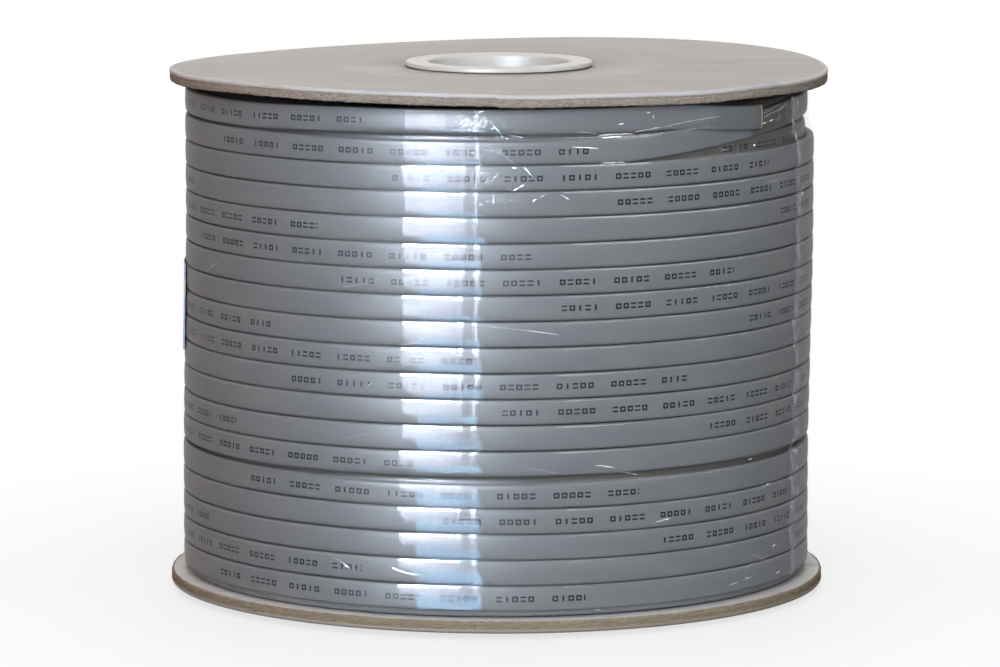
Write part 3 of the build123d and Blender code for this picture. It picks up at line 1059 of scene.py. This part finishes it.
def buildLabel():
    end = label["endAngle"]
    angles = stepsBetween(end - label["sweep"], end, 0.75)
    heights = stepsBetween(labelBox[0].z / mm, labelBox[1].z / mm, 0.8)
    points = []
    for layer in (0.0, label["thickness"]):
        for angle in angles:
            lift = label["over"] + label["lift"] * ramp(angle, end - label["curl"], end)
            for z in heights:
                ripple = 0.05 * wobble(angle / 5, z / 5, 2)
                points.append(placeWound(angle, outerRadius + lift + ripple + layer, z))
    size, rings = len(heights), len(angles)
    inner = joinRings(rings, size, closed=False)
    outer = [tuple(i + size * rings for i in reversed(face)) for face in inner]
    rim = list(range(size)) + [r * size + size - 1 for r in range(1, rings)]
    rim += [(rings - 1) * size + i for i in range(size - 2, -1, -1)]
    rim += [r * size for r in range(rings - 2, 0, -1)]
    sides = [(a, b, b + size * rings, a + size * rings) for a, b in zip(rim, rim[1:] + rim[:1])]
    faces = inner + outer + sides
    makePiece("reelLabel", points, faces, [labelMaterial()], replaced=["reel_label"])


buildLabel()


wireColours = {
    "white": "#E9E7E0", "black": "#26262A", "red": "#B3272B",
    "green": "#2F7D44", "yellow": "#E3C23C", "blue": "#2C5AA0",
}
copper = plainMaterial("drawnCopper", "#C77F5A", 0.3, metallic=1.0, mottleSize=0.15)
finishes = {"core_tube": plainMaterial("spiralWoundKraft", "#A08A6C", 0.85, mottleSize=2.5)}
for colourName, colour in wireColours.items():
    finishes[colourName + "_insulation"] = plainMaterial("wireSkin" + colourName.capitalize(), colour, 0.35)
    finishes[colourName + "_conductor"] = copper
for node, material in finishes.items():
    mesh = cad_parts[node].data
    mesh.materials.clear()
    mesh.materials.append(material)
print("label, wires and core finished")


studio = {
    "floorRadius": 6.0,
    "floorSides": 64,
    "floorWhite": 0.72,      # share of plain white where the reel stands
    "floorColour": "#F2F2F2",
    "floorBounce": "#544F4A",
    "fadeStart": 0.09,
    "fadeEnd": 0.26,
    "ambient": 0.06,
    "ambientColour": "#FFE0C0",
    "aimHeight": 0.07,
    "windowDistance": 1.6,
    "windowRadiance": 105.0,
    "windowColour": "#E4EFFF",
    "windowLow": -9.6,       # degrees above the level
    "windowHigh": 34.0,
    "windowPanes": {         # from and to, in degrees
        "windowPane": (-34.2, -17.9),
        "windowBar": (-17.0, -15.3),
        "windowSide": (-14.4, -12.4),
        "windowEdge": (-8.6, -7.1),
    },
    # azimuth, elevation, distance, width, height, radiance and colour
    "glossLamps": {
        "windowGlow": (-16.9, -18.6, 1.6, 0.63, 0.50, 84.0, "#94CEFF"),
        "edgeStrip": (66, 38, 1.6, 2.4, 0.8, 6.0, "#FFFFFF"),
    },
    "softLamps": {
        "frontSoftbox": (0, 16, 1.9, 1.2, 1.2, 8.4, "#ECF3FF"),
        "topSoftbox": (0, 86, 1.5, 1.1, 1.1, 2.7, "#FFFFFF"),
        "backSoftbox": (180, 16, 1.9, 1.2, 1.2, 6.0, "#FFFFFF"),
        "leftFill": (-100, 12, 1.6, 0.8, 0.8, 1.6, "#FF9C58"),
        "rightFill": (108, 12, 1.6, 0.8, 0.8, 0.08, "#FF9C58"),
    },
}


def buildFloor():
    sides = studio["floorSides"]
    turns = [i / sides * 2 * math.pi for i in range(sides)]
    points = [Vector((0, 0, 0))]
    points += [Vector((math.cos(a), math.sin(a), 0)) * studio["floorRadius"] for a in turns]
    mesh = bpy.data.meshes.new("floor")
    mesh.from_pydata(points, [], [(0, i + 1, (i + 1) % sides + 1) for i in range(sides)])
    material, tree, shader = newMaterial("paleFloor", {"Roughness": 0.9, "Specular IOR Level": 0.0})
    seen = addNode(tree, "LightPath", None, "Is Camera Ray")
    layColours(tree, shader, studio["floorBounce"], [(seen, studio["floorColour"])])
    # it turns to plain white away from the reel, where only the camera sees it
    where = addNode(tree, "TexCoord", None, "Object")
    far = addNode(tree, "VectorMath", {0: where}, "Value", operation="LENGTH")
    fade = addNode(tree, "MapRange", {
        "Value": far, "From Min": studio["fadeStart"], "From Max": studio["fadeEnd"],
        "To Min": studio["floorWhite"],
    }, "Result", interpolation_type="SMOOTHSTEP")
    amount = addNode(tree, "Math", {0: fade, 1: seen}, 0, operation="MULTIPLY")
    white = addNode(tree, "Emission", {"Color": (1, 1, 1, 1), "Strength": 1.0}, "Emission")
    output = next(n for n in tree.nodes if n.type == "OUTPUT_MATERIAL")
    finish = {0: amount, 1: shader.outputs["BSDF"], 2: white}
    addNode(tree, "MixShader", finish, "Shader", output.inputs["Surface"])
    mesh.materials.append(material)
    floor = bpy.data.objects.new("floor", mesh)
    bpy.context.scene.collection.objects.link(floor)
    floor.visible_glossy = False      # the window's reflection reaches below the floor's edge


def buildWorld():
    world = bpy.data.worlds.new("studio")
    bpy.context.scene.world = world
    world.use_nodes = True
    tree = world.node_tree
    tree.nodes.clear()
    rays = addNode(tree, "LightPath").outputs
    ambient = studio["ambient"]
    seen = rays["Is Camera Ray"]
    for ray in ("Is Glossy Ray", "Is Transmission Ray"):
        seen = addNode(tree, "Math", {0: seen, 1: rays[ray]}, 0, operation="MAXIMUM")
    strength = addNode(tree, "Math", {0: seen, 1: 1 - ambient, 2: ambient}, 0, operation="MULTIPLY_ADD")
    dim = hexColour(studio["ambientColour"])
    colour = addNode(tree, "Mix", {0: seen, 6: dim, 7: (1, 1, 1, 1)}, 2, data_type="RGBA")
    background = addNode(tree, "Background", {"Color": colour, "Strength": strength}, "Background")
    addNode(tree, "OutputWorld", {"Surface": background})


# Puts a lamp or the camera at this angle and distance, turned to the reel.
def aimed(name, data, azimuth, elevation, distance, aimHeight):
    a, e = math.radians(azimuth), math.radians(elevation)
    away = Vector((math.sin(a) * math.cos(e), -math.cos(a) * math.cos(e), math.sin(e)))
    holder = bpy.data.objects.new(name, data)
    holder.location = Vector((0, 0, aimHeight)) + away * distance
    holder.rotation_euler = away.to_track_quat("Z", "Y").to_euler()
    bpy.context.scene.collection.objects.link(holder)
    return holder


# An area lamp that is either seen in the gloss or lights the reel.
def addLamp(name, azimuth, elevation, distance, width, height, radiance, colour, gloss):
    lamp = bpy.data.lights.new(name, "AREA")
    lamp.shape = "RECTANGLE"
    lamp.size, lamp.size_y = width, height
    lamp.energy = radiance * math.pi * width * height
    lamp.color = hexColour(colour)[:3]
    holder = aimed(name, lamp, azimuth, elevation, distance, studio["aimHeight"])
    holder.visible_diffuse = not gloss
    holder.visible_glossy = gloss


def buildLights():
    d = studio["windowDistance"]
    low, high = studio["windowLow"], studio["windowHigh"]
    middle, height = (low + high) / 2, 2 * d * math.tan(math.radians((high - low) / 2))
    for name, (left, right) in studio["windowPanes"].items():
        width = 2 * d * math.tan(math.radians((right - left) / 2))
        glare = studio["windowRadiance"], studio["windowColour"]
        addLamp(name, (left + right) / 2, middle, d, width, height, *glare, True)
    for lamps in ("glossLamps", "softLamps"):
        for name, values in studio[lamps].items():
            addLamp(name, *values, lamps == "glossLamps")


# Seen from straight in front and slightly above, from far off.
view = {
    "lens": 219.07,
    "sensorWidth": 36,
    "shift": 0.00128,
    "elevation": 7.626,
    "distance": 1.6548,
    "aimHeight": 0.0682,
}


def buildCamera():
    camera = bpy.data.cameras.new("camera")
    camera.lens = view["lens"]
    camera.sensor_width = view["sensorWidth"]
    camera.shift_x = view["shift"]
    holder = aimed("camera", camera, 0, view["elevation"], view["distance"], view["aimHeight"])
    bpy.context.scene.camera = holder


buildFloor()
buildWorld()
buildLights()
buildCamera()
bpy.context.scene.view_settings.view_transform = "Standard"
print("floor, lights and camera set")
